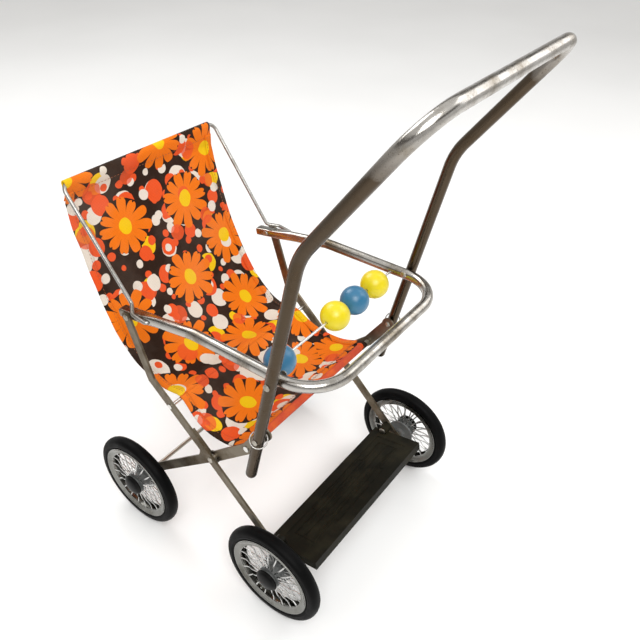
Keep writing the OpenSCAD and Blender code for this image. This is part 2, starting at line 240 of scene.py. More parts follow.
def sweep(name, path, section, material):
    """A tube along path. section(s, total) gives its outline, [(side, up), ...], at s along it."""
    verts = []
    up = Vector((0, 0, 1))
    tangent = (path[1] - path[0]).normalized()
    side = tangent.cross(up)
    side = side.normalized() if side.length > 1e-3 else Vector((1, 0, 0))
    lengths = [0]
    for a, b in zip(path, path[1:]):
        lengths.append(lengths[-1] + (b - a).length)
    for i, p in enumerate(path):
        ahead = path[min(i + 1, len(path) - 1)] - p
        behind = p - path[max(i - 1, 0)]
        new = (ahead.normalized() + behind.normalized()).normalized()
        side = (side - new * side.dot(new)).normalized()
        over = side.cross(new)
        ring = section(lengths[i], lengths[-1])
        verts += [p + side * u + over * v for u, v in ring]
    return sharpen(add_object(name, verts, tube_faces(len(path), len(ring)), material))


def ring_points(radius, count):
    """Points round a circle."""
    return [
        (radius * math.cos(math.tau * k / count), radius * math.sin(math.tau * k / count))
        for k in range(count)
    ]


def circle_section(radius, count=28):
    ring = ring_points(radius, count)
    return lambda s, total: ring


def lathe(name, profile, material, count=64, closed=False):
    """Turns profile, [(r, z), ...], about Z. A point at r 0 is a pole."""
    verts, faces, rows = [], [], []
    for r, z in profile:
        if r < 1e-6:
            rows.append([len(verts)])
            verts.append((0, 0, z))
            continue
        rows.append(list(range(len(verts), len(verts) + count)))
        verts += [(x, y, z) for x, y in ring_points(r, count)]
    pairs = list(zip(rows, rows[1:])) + ([(rows[-1], rows[0])] if closed else [])
    for a, b in pairs:
        for k in range(count):
            m = (k + 1) % count
            quad = [a[k % len(a)], a[m % len(a)], b[m % len(b)], b[k % len(b)]]
            unique = list(dict.fromkeys(quad))
            if len(unique) > 2:
                faces.append(tuple(unique))
    return sharpen(add_object(name, verts, faces, material))


def along_x(obj, x, p, outward=1):
    """Turns an object's Z to point along +X or -X and moves it to (x, p), in millimetres."""
    turn = Matrix.Rotation(math.radians(90 * outward), 4, "Y")
    obj.data.transform(Matrix.Translation(Vector((x, p[0], p[1])) * MM) @ turn)
    return obj


def join(name, objects):
    """Makes one object of several."""
    bm = bmesh.new()
    materials = []
    for o in objects:
        for m in o.data.materials:
            if m not in materials:
                materials.append(m)
    for o in objects:
        start = len(bm.faces)
        bm.from_mesh(o.data)
        bm.faces.ensure_lookup_table()
        own = list(o.data.materials)
        for f in bm.faces[start:]:
            f.material_index = materials.index(own[f.material_index])
    mesh = bpy.data.meshes.new(name)
    bm.to_mesh(mesh)
    bm.free()
    for m in materials:
        mesh.materials.append(m)
    for o in objects:
        bpy.data.objects.remove(o)
    return link_new(name, mesh)


# ---- Materials ----


class Graph:
    """Short forms for building a material's nodes. Values may be numbers or sockets."""

    def __init__(self, name):
        self.material = bpy.data.materials.new(name)
        self.material.use_nodes = True
        self.tree = self.material.node_tree
        self.shader = self.tree.nodes["Principled BSDF"]

    def node(self, kind, inputs=(), **settings):
        n = self.tree.nodes.new("ShaderNode" + kind)
        for key, value in settings.items():
            setattr(n, key, value)
        for key, value in dict(inputs).items():
            self.put(n.inputs[key], value)
        return n

    def put(self, socket, value):
        if isinstance(value, bpy.types.NodeSocket):
            self.tree.links.new(value, socket)
        else:
            socket.default_value = value

    def math(self, operation, a, b=0.0, clamp=False):
        n = self.node("Math", operation=operation, use_clamp=clamp)
        self.put(n.inputs[0], a)
        self.put(n.inputs[1], b)
        return n.outputs[0]

    def add(self, a, b):
        return self.math("ADD", a, b)

    def sub(self, a, b):
        return self.math("SUBTRACT", a, b)

    def mul(self, a, b):
        return self.math("MULTIPLY", a, b)

    def below(self, a, edge, soft=0.0001):
        """1 where a is below edge, with a soft border."""
        return self.math("DIVIDE", self.sub(edge, a), soft, clamp=True)

    def color(self, amount, a, b, blend="MIX"):
        n = self.node("Mix", data_type="RGBA", blend_type=blend)
        self.put(n.inputs[0], amount)
        self.put(n.inputs[6], a if isinstance(a, bpy.types.NodeSocket) else (*a, 1))
        self.put(n.inputs[7], b if isinstance(b, bpy.types.NodeSocket) else (*b, 1))
        return n.outputs[2]

    def range(self, value, low, high, to_low, to_high):
        n = self.node("MapRange")
        for i, v in enumerate((value, low, high, to_low, to_high)):
            self.put(n.inputs[i], v)
        return n.outputs[0]

    def place(self, scale=(1, 1, 1)):
        coordinates = self.node("TexCoord").outputs["Object"]
        n = self.node("Mapping", {"Vector": coordinates, "Scale": scale})
        return n.outputs[0]

    def noise(self, scale, detail=4.0, rough=0.55, stretch=(1, 1, 1), vector=None):
        place = vector or self.place(stretch)
        n = self.node(
            "TexNoise",
            {"Vector": place, "Scale": scale, "Detail": detail, "Roughness": rough},
        )
        return n.outputs["Fac"]

    def bump(self, height, strength=0.3, distance=0.0002, normal=None):
        n = self.node("Bump", {"Height": height, "Strength": strength, "Distance": distance})
        if normal is not None:
            self.put(n.inputs["Normal"], normal)
        return n.outputs[0]

    def surface(self, **values):
        for key, value in values.items():
            name = key.replace("_", " ").title().replace("Ior", "IOR")
            if isinstance(value, tuple) and len(value) == 3:
                value = (*value, 1)
            self.put(self.shader.inputs[name], value)
        return self.material


def worn_metal(name, bright, stain, rough, stain_share=0.45, scratch=0.25, dark_reflection_below=None):
    """Plated metal: blotchy tarnish, small pits and fine scratches.

    A height range (low, high) as the last argument browns it below the height high, and fully below low: a
    painted dark reflection of the room, put into the colour.
    """
    g = Graph(name)
    blotch = g.noise(28, 6, 0.62)
    stained = g.range(blotch, 1 - stain_share - 0.08, 1 - stain_share + 0.14, 0.0, 1.0)
    pits = g.below(g.noise(950, 2, 0.5), 0.36, 0.05)
    speck = g.mul(pits, g.range(blotch, 0.42, 0.62, 0.1, 0.9))
    lines = g.noise(1500, 2, 0.5)
    tint = g.color(stained, bright, stain)
    # Painted dark reflection: the colour turns dark brown towards the bottom by object height, where the
    # chrome would mirror a dark room.
    if dark_reflection_below:
        height = g.node("SeparateXYZ", {"Vector": g.place()}).outputs[2]
        height = g.add(height, g.range(blotch, 0.3, 0.7, -0.02, 0.02))
        low = g.range(height, *dark_reflection_below, 0.97, 0.0)
        tint = g.color(low, tint, (0.064, 0.044, 0.026))
    tint = g.color(speck, tint, tuple(c * 0.35 for c in stain))
    smudge = g.noise(90, 4, 0.6)
    roughness = g.range(smudge, 0.3, 0.75, rough, rough + 0.16)
    roughness = g.add(roughness, g.mul(speck, 0.3))
    roughness = g.add(roughness, g.mul(stained, 0.1))
    normal = g.bump(lines, scratch, 0.00008)
    normal = g.bump(speck, 0.35, -0.00012, normal)
    return g.surface(base_color=tint, metallic=1.0, roughness=roughness, normal=normal)


def rubber():
    g = Graph("tyre_rubber")
    dust = g.noise(45, 6, 0.65)
    dusty = g.range(dust, 0.5, 0.8, 0.0, 0.5)
    tint = g.color(dusty, (0.0014, 0.0014, 0.0015), (0.007, 0.0065, 0.006))
    fine = g.noise(1800, 3, 0.6)
    roughness = g.range(dust, 0.3, 0.8, 0.40, 0.68)
    return g.surface(
        base_color=tint, roughness=roughness, normal=g.bump(fine, 0.25, 0.0001),
        specular_ior_level=0.07,
    )


def moulded(name, tint, dusty, rough, bump_scale=900, bump_depth=0.0001, shine=0.3):
    g = Graph(name)
    dust = g.noise(35, 6, 0.62)
    streak = g.noise(160, 3, 0.6, (0.25, 1, 1))
    color = g.color(g.range(dust, 0.45, 0.8, 0.0, 1.0), tint, dusty)
    color = g.color(g.range(streak, 0.56, 0.8, 0.0, 0.35), color, dusty)
    grain = g.noise(bump_scale, 4, 0.6)
    roughness = g.range(dust, 0.3, 0.8, rough, rough + 0.22)
    return g.surface(
        base_color=color, roughness=roughness, normal=g.bump(grain, 0.35, bump_depth),
        specular_ior_level=shine,
    )


def lacquer(name, tint, deep):
    """Glossy painted wood, with a faint grain under the paint and small dents."""
    g = Graph(name)
    grain = g.noise(60, 5, 0.6, (0.3, 1, 1))
    color = g.color(g.range(grain, 0.4, 0.72, 0.0, 0.45), tint, deep)
    dents = g.noise(240, 3, 0.55)
    roughness = g.range(dents, 0.3, 0.75, 0.28, 0.42)
    normal = g.bump(dents, 0.16, 0.0002)
    return g.surface(
        base_color=color, roughness=roughness, normal=normal, coat_weight=0.18, coat_roughness=0.22
    )


BROWN = (0.022, 0.0085, 0.0035)
ORANGE = (0.79, 0.165, 0.003)
ORANGE_DEEP = (0.66, 0.105, 0.003)
RED = (0.74, 0.082, 0.014)
YELLOW = (0.80, 0.50, 0.003)
CREAM = (0.72, 0.64, 0.55)


def print_cells(g, u, v, pitch, seed, stagger=0.5, jitter=0.3):
    """Splits the cloth into cells a pitch apart.

    Gives each point's place from a middle moved at random in its cell, and 4 random values.
    """
    row = g.math("FLOOR", g.math("DIVIDE", v, pitch[1]))
    odd = g.math("FLOORED_MODULO", row, 2.0)
    shifted = g.add(u, g.mul(odd, stagger * pitch[0]))
    column = g.math("FLOOR", g.math("DIVIDE", shifted, pitch[0]))
    cell = g.node("CombineXYZ", {"X": column, "Y": row, "Z": seed})
    dice = g.node("TexWhiteNoise", {"Vector": cell.outputs[0]}, noise_dimensions="3D")
    r = g.node("SeparateColor", {"Color": dice.outputs["Color"]}).outputs
    places = []
    for value, index, size, die in ((shifted, column, pitch[0], r[0]), (v, row, pitch[1], r[1])):
        off = g.mul(g.sub(die, 0.5), jitter)
        mid = g.mul(g.add(index, g.add(off, 0.5)), size)
        places.append(g.sub(value, mid))
    return places[0], places[1], (r[0], r[1], r[2]), dice.outputs["Value"]


def radius_of(g, x, y, stretch=1.0):
    y = g.mul(y, stretch)
    return g.math("SQRT", g.add(g.mul(x, x), g.mul(y, y)))


def dots(g, u, v, pitch, smallest, largest, share, seed, jitter=0.34):
    """Mask of round printed dots, one in some of the cells."""
    x, y, dice, chance = print_cells(g, u, v, (pitch, pitch), seed, 0.5, jitter)
    size = g.range(dice[2], 0.0, 1.0, smallest, largest)
    inside = g.below(radius_of(g, x, y, 0.9), size, 0.00025)
    return g.mul(inside, g.below(chance, share))


# Middles of the daisies on the flat cloth, in millimetres across and down from the top bar
DAISIES = (
    (-45, 75), (40, 75), (10, 160), (78, 135), (20, 0), (85, 30), (-35, 230), (25, 265),
    (66, 215), (-43, 330), (-80, 170), (-95, 270), (82, 360), (44, 335), (25, 400),
    (-100, 0), (-60, 400), (95, 290), (-85, 385),
)
DAISY_R = 0.0345
PETALS = 11
DAISY_TAG = 1e-6
DOT_EDGE = 0.0003


def nearest_daisy(g, u, v):
    """Each point's place from the middle of the daisy nearest to it, and that daisy's own number."""
    point = g.node("CombineXYZ", {"X": u, "Y": v}).outputs[0]
    offset, distance = None, None
    for i, (x, y) in enumerate(DAISIES):
        # The daisy's number rides along as a height too small to change the distance
        away = g.node("VectorMath", operation="SUBTRACT")
        g.put(away.inputs[0], point)
        g.put(away.inputs[1], (x * MM, y * MM, -i * DAISY_TAG))
        length = g.node("VectorMath", {"Vector": away.outputs[0]}, operation="LENGTH")
        length = length.outputs["Value"]
        if offset is None:
            offset, distance = away.outputs[0], length
            continue
        mix = g.node("Mix", data_type="VECTOR")
        g.put(mix.inputs[0], g.math("LESS_THAN", length, distance))
        g.put(mix.inputs[4], offset)
        g.put(mix.inputs[5], away.outputs[0])
        offset = mix.outputs[1]
        distance = g.math("MINIMUM", length, distance)
    parts = g.node("SeparateXYZ", {"Vector": offset}).outputs
    return parts[0], parts[1], g.mul(parts[2], 1 / DAISY_TAG)


def daisies(g, u, v):
    """Masks of the daisies, their middles, their petals' creases and the bare ground round them."""
    x, y, number = nearest_daisy(g, u, v)
    r = radius_of(g, x, y)
    angle = g.add(g.math("ARCTAN2", y, x), g.mul(number, 1.37))
    turn = g.add(g.mul(angle, PETALS / math.tau), 4.0 * PETALS)
    which = g.math("FLOORED_MODULO", g.math("FLOOR", turn), float(PETALS))
    label = g.node("CombineXYZ", {"X": which, "Y": number, "Z": 1.3})
    own = g.node("TexWhiteNoise", {"Vector": label.outputs[0]}, noise_dimensions="3D")
    across = g.math("ABSOLUTE", g.sub(g.math("FRACT", turn), 0.5))
    across = g.mul(across, 2.0)
    shape = g.sub(1.0, g.math("POWER", across, 3.4))
    shape = g.math("POWER", g.math("MAXIMUM", shape, 0.0), 0.72)
    reach = g.range(own.outputs["Value"], 0.0, 1.0, 0.80, 1.0)
    notch = g.mul(g.below(across, 0.20, 0.16), 0.06)
    tip = g.sub(reach, g.mul(notch, g.below(own.outputs["Value"], 0.55)))
    edge = g.add(0.40, g.mul(shape, g.sub(tip, 0.40)))
    flower = g.below(r, g.mul(edge, DAISY_R), DOT_EDGE)
    core = g.below(radius_of(g, x, y, 0.82), 0.0078, DOT_EDGE)
    crease = g.mul(g.below(across, 0.10, 0.1), g.below(r, 0.017))
    ground = g.below(r, 0.86 * DAISY_R, DOT_EDGE)
    return flower, core, crease, ground


def printed_fabric():
    """Plain-weave cotton printed with daisies and dots, mapped by the cloth's own flat size."""
    g = Graph("printed_fabric")
    uv = g.node("UVMap", uv_map="cloth").outputs[0]
    wobble = g.node("TexNoise", {"Vector": uv, "Scale": 55.0, "Detail": 2.0})
    shift = g.node("SeparateColor", {"Color": wobble.outputs["Color"]}).outputs
    flat = g.node("SeparateXYZ", {"Vector": uv}).outputs
    u = g.add(flat[0], g.mul(g.sub(shift[0], 0.5), 0.004))
    v = g.add(flat[1], g.mul(g.sub(shift[1], 0.5), 0.004))
    color = BROWN
    # Pitch, smallest and largest radius in metres, share of the cells, seed, ink
    for *dot, ink in (
        (0.0425, 0.007, 0.0118, 0.55, 2.3, YELLOW),
        (0.0355, 0.0078, 0.0122, 0.78, 1.1, CREAM),
        (0.0325, 0.006, 0.0121, 0.70, 5.9, RED),
        (0.0182, 0.0028, 0.0050, 0.56, 7.7, RED),
        (0.0215, 0.0038, 0.0060, 0.48, 8.3, CREAM),
    ):
        color = g.color(dots(g, u, v, *dot), color, ink)
    flower, core, crease, ground = daisies(g, u, v)
    color = g.color(ground, color, BROWN)
    petal = g.color(g.mul(crease, 0.5), ORANGE, ORANGE_DEEP)
    color = g.color(flower, color, petal)
    # Red over orange is translucent ink
    over = g.mul(dots(g, u, v, 0.043, 0.0065, 0.0112, 0.42, 11.9), 0.82)
    color = g.color(over, color, RED)
    color = g.color(dots(g, u, v, 0.058, 0.0055, 0.009, 0.32, 12.7), color, CREAM)
    color = g.color(core, color, YELLOW)
    fade = g.noise(9, 4, 0.6, vector=uv)
    color = g.color(g.range(fade, 0.45, 0.75, 0.0, 0.10), color, (0.62, 0.50, 0.42))
    grime = g.noise(26, 6, 0.65, vector=uv)
    color = g.color(g.range(grime, 0.55, 0.8, 0.0, 0.22), color, (0.16, 0.09, 0.05))
    threads = 2600.0  # to the metre
    weave = []
    for value, other in ((flat[0], flat[1]), (flat[1], flat[0])):
        wave = g.math("SINE", g.mul(value, threads * math.tau / 2))
        over = g.math("SINE", g.mul(other, threads * math.tau / 4))
        weave.append(g.mul(g.math("ABSOLUTE", wave), g.add(over, 1.4)))
    cloth = g.mul(g.math("MAXIMUM", weave[0], weave[1]), 0.42)
    shade = g.range(cloth, 0.0, 1.0, 0.80, 1.04)
    tone = g.node("CombineColor", {"Red": shade, "Green": shade, "Blue": shade})
    color = g.color(1.0, color, tone.outputs[0], "MULTIPLY")
    slub = g.noise(420, 3, 0.6, vector=uv)
    normal = g.bump(cloth, 0.4, 0.00012)
    normal = g.bump(slub, 0.25, 0.0002, normal)
    normal = g.bump(g.noise(38, 4, 0.55, vector=uv), 0.5, 0.0016, normal)
    roughness = g.range(slub, 0.3, 0.7, 0.74, 0.9)
    return g.surface(
        base_color=color, roughness=roughness, normal=normal, specular_ior_level=0.16,
        sheen_weight=0.02, sheen_roughness=0.5,
    )


def binding_fabric():
    """The red-orange binding along the front hem."""
    g = Graph("hem_binding")
    wear = g.noise(70, 5, 0.6)
    color = g.color(g.range(wear, 0.4, 0.75, 0.0, 1.0), (0.50, 0.050, 0.012), (0.66, 0.105, 0.010))
    weave = g.math("ABSOLUTE", g.math("SINE", g.mul(g.noise(10, 0, 0.5), 900.0)))
    roughness = g.range(wear, 0.3, 0.8, 0.7, 0.9)
    return g.surface(base_color=color, roughness=roughness, normal=g.bump(weave, 0.2, 0.0001))


def thread():
    g = Graph("stitch_thread")
    twist = g.noise(2600, 2, 0.5)
    color = g.color(g.range(twist, 0.35, 0.7, 0.0, 1.0), (0.20, 0.055, 0.02), (0.40, 0.13, 0.04))
    roughness = g.range(twist, 0.3, 0.7, 0.6, 0.85)
    return g.surface(base_color=color, roughness=roughness, normal=g.bump(twist, 0.3, 0.0001))


def pale_floor():
    g = Graph("floor")
    soft = g.noise(3, 2, 0.5)
    color = g.color(g.range(soft, 0.3, 0.7, 0.0, 1.0), (0.86, 0.86, 0.855), (0.88, 0.88, 0.875))
    return g.surface(base_color=color, roughness=g.range(soft, 0.3, 0.7, 0.55, 0.65))


CHROME = worn_metal("chromed_tube", (0.46, 0.44, 0.41), (0.16, 0.13, 0.09), 0.13, 0.47)
# Handle chrome: real tarnish, and a painted dark brown reflection on the lower part of the handle.
OLD_CHROME_PAINTED_REFLECTION = worn_metal(
    "handle_chrome", (0.50, 0.48, 0.45), (0.20, 0.165, 0.12), 0.15, 0.45, dark_reflection_below=(0.525, 0.566)
)
STRIP = worn_metal("plated_strip", (0.19, 0.160, 0.118), (0.095, 0.070, 0.042), 0.30, 0.5, 0.35)
WIRE = worn_metal("bright_wire", (0.34, 0.33, 0.31), (0.17, 0.15, 0.12), 0.22, 0.4)
BRIGHT = worn_metal("bright_rod", (0.72, 0.71, 0.68), (0.5, 0.47, 0.41), 0.2, 0.3)
PIN = worn_metal("steel_pins", (0.42, 0.39, 0.34), (0.19, 0.155, 0.11), 0.26, 0.4)
RIM = worn_metal("wheel_rim", (0.24, 0.24, 0.225), (0.095, 0.09, 0.075), 0.10, 0.45)
SPOKE = worn_metal("wheel_spoke", (0.58, 0.58, 0.57), (0.30, 0.285, 0.25), 0.16, 0.35)
RUBBER = rubber()
FOOTREST = moulded(
    "footrest_plastic", (0.0060, 0.0056, 0.0030), (0.024, 0.0205, 0.0105), 0.46, 420, 0.0003, 0.13
)
CAP = moulded("cap_plastic", (0.003, 0.003, 0.003), (0.011, 0.010, 0.009), 0.3, shine=0.1)
HUB = moulded("hub_grey", (0.125, 0.13, 0.128), (0.07, 0.068, 0.06), 0.35)
YELLOW_BEAD = lacquer("bead_yellow", (0.74, 0.60, 0.004), (0.64, 0.47, 0.004))
BLUE_BEAD = lacquer("bead_blue", (0.026, 0.155, 0.285), (0.016, 0.10, 0.20))
FABRIC = printed_fabric()
BINDING = binding_fabric()
THREAD = thread()

CAD_MATERIALS = {
    "footrest": FOOTREST,
    "leg_": STRIP,
    "rear_link_": STRIP,
    "seat_cross_rod": BRIGHT,
    "seat_front_rod": BRIGHT,
    "bead_rod": BRIGHT,
    "front_axle": PIN,
    "rear_axle": PIN,
    "axle_spacers_": PIN,
    "scissor_spacers": PIN,
    "arm_washers": PIN,
    "handle_spacers": PIN,
    "handle_end_caps": OLD_CHROME_PAINTED_REFLECTION,
}
for node, obj in nodes.items():
    for prefix, material in CAD_MATERIALS.items():
        if node == prefix or prefix.endswith("_") and node.startswith(prefix):
            obj.data.materials.clear()
            obj.data.materials.append(material)
for side in SIDES:
    bevel(nodes[f"leg_{side}"], 0.45)
    bevel(nodes[f"rear_link_{side}"], 0.45)
bevel(nodes["footrest"], 0.5)

# ---- Tubes and wires ----


def both_ways(right):
    """A side-to-side symmetric line: the right half as given, then its mirror image back."""
    return right + [Vector((-p.x, p.y, p.z)) for p in reversed(right)]


def make_handle():
    line = both_ways([at(HANDLE_X, p) for p in (HANDLE_LOW, HANDLE_BEND, HANDLE_TOP)])
    path = densify(bent_path(line, HANDLE_BENDS), 12)
    obj = sweep("push_handle", path, circle_section(TUBE_R, 36), OLD_CHROME_PAINTED_REFLECTION)
    stand_in(obj, "handle", "handle_tube")


def flattened_section(s, total, count=40):
    """Round in the middle of the bumper; lower and boxy at its two rear ends."""
    boxy = 26
    t = 1 - min(max((min(s, total - s) - boxy) / boxy, 0), 1)
    t = t * t * (3 - 2 * t)
    power = 2 / (2 + 3.2 * t)
    high = TUBE_R - 1.15 * t
    ring = []
    for k in range(count):
        a = math.tau * k / count
        ring.append([
            reach * math.copysign(abs(c) ** power, c)
            for reach, c in ((TUBE_R - 0.05, math.cos(a)), (high, math.sin(a)))
        ])
    return ring


def make_bumper():
    line = both_ways([at(BUMPER_X, p) for p in (BUMPER_REAR, BUMPER_BEND, BUMPER_FRONT)])
    path = densify(bent_path(line, BUMPER_BENDS), 6)
    obj = sweep("bumper", path, flattened_section, CHROME)
    # A sunk dark mouth in each open end
    holes = []
    for end, inner in ((0, 1), (-1, -2)):
        away = (path[end] - path[inner]).normalized()
        mouth = lathe("mouth", [(0, -3), (3.6, -3), (3.6, 0.06), (4.3, 0.06), (4.3, -0.2)], PIN, 24)
        turn = away.to_track_quat("Z", "Y").to_matrix().to_4x4()
        mouth.data.transform(Matrix.Translation(path[end] * MM) @ turn)
        holes.append(mouth)
    obj = join("bumper_tube", [obj, *holes])
    stand_in(obj, "armrest", "bumper_bar")


def make_wire():
    cross = Vector((WIRE_OUTER_X, 103, 300.2))
    foot = Vector((WIRE_X, 114.3, 303))
    hook = [at(106.5, WIRE_HOOK), at(WIRE_OUTER_X, WIRE_HOOK)]
    line = both_ways([*hook, cross, foot, at(WIRE_X, WIRE_TOP)])
    path = densify(bent_path(line, WIRE_BENDS, 1.5), 10)
    obj = sweep("back_wire", path, circle_section(WIRE_R, 20), WIRE)
    stand_in(obj, "armrest", "backrest_wire")


def make_footrest_ribs():
    """Thin raised ribs on the footrest's sunken panel: a stepped outline and short bars inside it."""
    tilt = Matrix.Rotation(math.radians(-FOOTREST_TILT), 4, "X")
    turn = Matrix.Translation(at(0, FOOTREST_AT)) @ tilt
    ends, sides, step_x, step_y = 84, 17.5, 46, 13
    outline = []
    for x_way, y_way in ((1, 1), (-1, 1), (-1, -1), (1, -1)):
        corner = [(ends, 0), (ends, step_y), (step_x, step_y), (step_x, sides), (0, sides)]
        corner = [(x * x_way, y * y_way) for x, y in corner]
        outline.append(corner if x_way * y_way > 0 else corner[::-1])
    ribs = [(a, b) for line in outline for a, b in zip(line, line[1:])]
    ribs += [((-x, y), (x, y)) for x, y in ((44, 5.5), (44, -5.5), (68, 8), (68, -8))]
    verts, faces = [], []
    for (x0, y0), (x1, y1) in ribs:
        low_x, high_x = min(x0, x1) - RIB_W / 2, max(x0, x1) + RIB_W / 2
        low_y, high_y = min(y0, y1) - RIB_W / 2, max(y0, y1) + RIB_W / 2
        base = len(verts)
        for z, inset in ((-PANEL_DEEP - 0.05, 0), (-0.05, 0.3)):
            for x, y in (
                (low_x + inset, low_y + inset), (high_x - inset, low_y + inset),
                (high_x - inset, high_y - inset), (low_x + inset, high_y - inset),
            ):
                verts.append(turn @ Vector((x, y, z)))
        faces.append(tuple(base + k for k in (4, 5, 6, 7)))
        for k in range(4):
            m = (k + 1) % 4
            faces.append(tuple(base + v for v in (k, m, m + 4, k + 4)))
    obj = add_object("footrest_ribs", verts, faces, FOOTREST, smooth=False)
    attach(obj, body_of(nodes["footrest"])[0])


def make_rings():
    """The lock rings: one turn of thin wire each, whose ends lap each other."""
    v = HANDLE_BEND - HANDLE_LOW
    tilt = math.degrees(math.atan2(v[1], v[0])) - 90
    turn = (
        Matrix.Rotation(math.radians(tilt), 4, "X")
        @ Matrix.Rotation(math.radians(-60), 4, "Z")
        @ Matrix.Rotation(math.radians(33), 4, "X")
    )
    radius, lap, count = 8.45, 8, 72
    points = []
    for k in range(count + 1):
        a = math.radians((360 + 2 * lap) * k / count - lap)
        points.append(Vector((radius * math.cos(a), radius * math.sin(a), 0.12 * math.sin(a / 2))))
    for side in SIDES:
        obj = sweep(f"ring_{side}", points, circle_section(0.68, 14), WIRE)
        obj.data.transform(Matrix.Translation(middle(f"lock_ring_{side}")) @ turn)
        stand_in(obj, f"ring_{side}", f"lock_ring_{side}")


HEAD_H = 1.5
SHAFT_R = 2


def domed_head(radius):
    """A rivet head: a low dome on a short edge, its foot at z 0."""
    edge = 0.35
    profile = [(0, 0), (radius, 0), (radius, edge)]
    for k in range(1, 8):
        a = math.radians(90 * k / 8)
        profile.append((radius * math.cos(a), edge + (HEAD_H - edge) * math.sin(a)))
    return lathe("head", [*profile, (0, HEAD_H)], PIN, 28)


def make_rivets():
    """Every rivet of the frame: a domed head at each way it ends, 1 outwards and -1 inwards.

    A rivet with both its heads has a shaft between them.
    """
    for node, head, ways in (
        ("footrest_rivets", 4.2, (1, -1)),
        ("scissor_rivets", 3.4, (1, -1)),
        ("arm_pivot_rivets", 3.4, (1, -1)),
        ("handle_pivot_rivets", 3.0, (1, -1)),
        ("handle_rivets", 3.4, (1,)),
        ("bumper_rivets", 3.4, (-1,)),
    ):
        low, high = (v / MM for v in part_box(node))
        p = Vector(((low.y + high.y) / 2, (low.z + high.z) / 2))
        inner = min(abs(v.co.x) for v in nodes[node].data.vertices) / MM
        foot = {1: high.x - HEAD_H, -1: inner + HEAD_H}
        parts = []
        for sign in (-1, 1):
            parts += [along_x(domed_head(head), sign * foot[way], p, sign * way) for way in ways]
            if len(ways) == 2:
                shaft = lathe("shaft", [(SHAFT_R, foot[-1]), (SHAFT_R, foot[1])], PIN, 24)
                parts.append(along_x(shaft, 0, p, sign))
        obj = join(node.replace("_rivets", "_domed_rivets"), parts)
        stand_in(obj, body_of(nodes[node])[0], node)


def make_beads():
    for node, material in (
        ("bead_yellow_outer", YELLOW_BEAD),
        ("bead_blue_inner", BLUE_BEAD),
        ("bead_yellow_middle", YELLOW_BEAD),
        ("bead_blue_outer", BLUE_BEAD),
    ):
        low, high = (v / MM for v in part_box(node))
        radius = (high.y - low.y) / 2
        bore, lip = 1.45, 0.5
        start = math.degrees(math.asin((bore + lip) / radius))
        end = math.sqrt(radius**2 - bore**2) - lip
        profile = [(bore, 0), (bore, end)]
        profile += [
            (radius * math.sin(math.radians(a)), radius * math.cos(math.radians(a)))
            for a in np.linspace(start, 180 - start, 41)
        ]
        obj = lathe(node + "_turned", [*profile, (bore, -end)], material, 72, closed=True)
        along_x(obj, (low.x + high.x) / 2, BEAD_ROD)
        stand_in(obj, body_of(nodes[node])[0], node)


# ---- Wheels, drawn about Z with the outer side at +Z ----

TYRE_IN = 48.5
SPOKES = 20  # in each of the two rows
SPOKE_SECTION = ((0.75, 0.45), (-0.75, 0.45), (-0.75, -0.45), (0.75, -0.45))
SPOKE_FROM, SPOKE_TO = 11.5, 41.3


def tyre_mesh():
    """A solid rubber tyre with a moulded rib near each shoulder and a flat, finely ribbed tread."""
    shoulder = [(TYRE_IN + 1.2, -6.5), (51.5, -7.05), (52.1, -7.25), (52.7, -7.05)]
    profile = [(TYRE_IN, 5.2), (TYRE_IN, -5.2), *shoulder]
    for k in range(19):
        a = math.radians(-84 + 168 * k / 18)
        groove = 0.22 if k in (5, 7, 9, 11, 13) else 0
        profile.append((53.6 + 6.4 * math.cos(a) ** 0.8 - groove, 7.1 * math.sin(a)))
    profile += [(r, -z) for r, z in reversed(shoulder)]
    return lathe("tyre", profile, RUBBER, 120, closed=True)


def rim_mesh():
    """A pressed rim: a wide concave band on each face, joined by the seat of the tyre."""
    half = [
        (48.4, 6.9), (47.6, 7.0), (46.4, 6.2), (44.6, 5.1), (42.6, 4.5), (41.2, 4.6), (40.5, 5.0),
        (40.5, 3.9), (42.4, 3.5), (45.2, 4.1), (47.0, 5.0),
    ]
    return lathe("rim", half + [(r, -z) for r, z in reversed(half)], RIM, 120, closed=True)


def spokes_mesh():
    """Two rows of thin flat spokes. Each leaves the hub straight and bows just before the rim."""
    spokes = []
    for row, z_hub, z_rim in ((0, 5.4, 4.5), (1, -5.4, -4.5)):
        for k in range(SPOKES):
            turn = Matrix.Rotation((k + row / 2) * math.tau / SPOKES, 4, "Z")
            path = []
            for i in range(15):
                t = i / 14
                bow = max(0.0, (t - 0.55) / 0.45)
                r = SPOKE_FROM + (SPOKE_TO - SPOKE_FROM) * t
                z = z_hub + (z_rim - z_hub) * t
                z -= math.copysign(1.28 * math.sin(math.pi * bow), z_hub)
                path.append(turn @ Vector((r, 1.1 * bow * bow, z)))
            spokes.append(sweep("spoke", path, lambda s, total: SPOKE_SECTION, SPOKE))
    return join("spokes", spokes)


def hub_mesh():
    """The turned hub: an inner flange with a raised lip, the barrel, and two spoke flanges."""
    profile = [
        (2.55, -13.4), (6.4, -13.4), (7.0, -12.9), (7.4, -9.6), (15.8, -8.7), (16.6, -9.1),
        (17.0, -8.5), (16.8, -7.2), (15.4, -7.2), (8.4, -6.6), (8.2, -6.1), (12.6, -6.0),
        (13.0, -5.5), (12.6, -5.0),
        (8.4, -4.6), (7.8, -2.0), (7.8, 2.0), (8.4, 4.6), (12.6, 5.0), (13.0, 5.5), (12.6, 6.0),
        (8.6, 6.2), (8.2, 8.7), (7.8, 9.0), (2.55, 9.0),
    ]
    return lathe("hub", profile, HUB, 72, closed=True)


def cap_mesh():
    """The black push-on cap: a stepped skirt and a domed nose."""
    profile = [(0, 9.2), (12.0, 9.2), (12.8, 9.5), (13.0, 10.2), (12.9, 11.2), (12.2, 11.7)]
    for a in np.radians(range(6, 85, 8)):
        profile.append((11.6 * math.cos(a), 11.7 + 3.4 * math.sin(a)))
    return lathe("cap", [*profile, (0, 15.15)], CAP, 64)


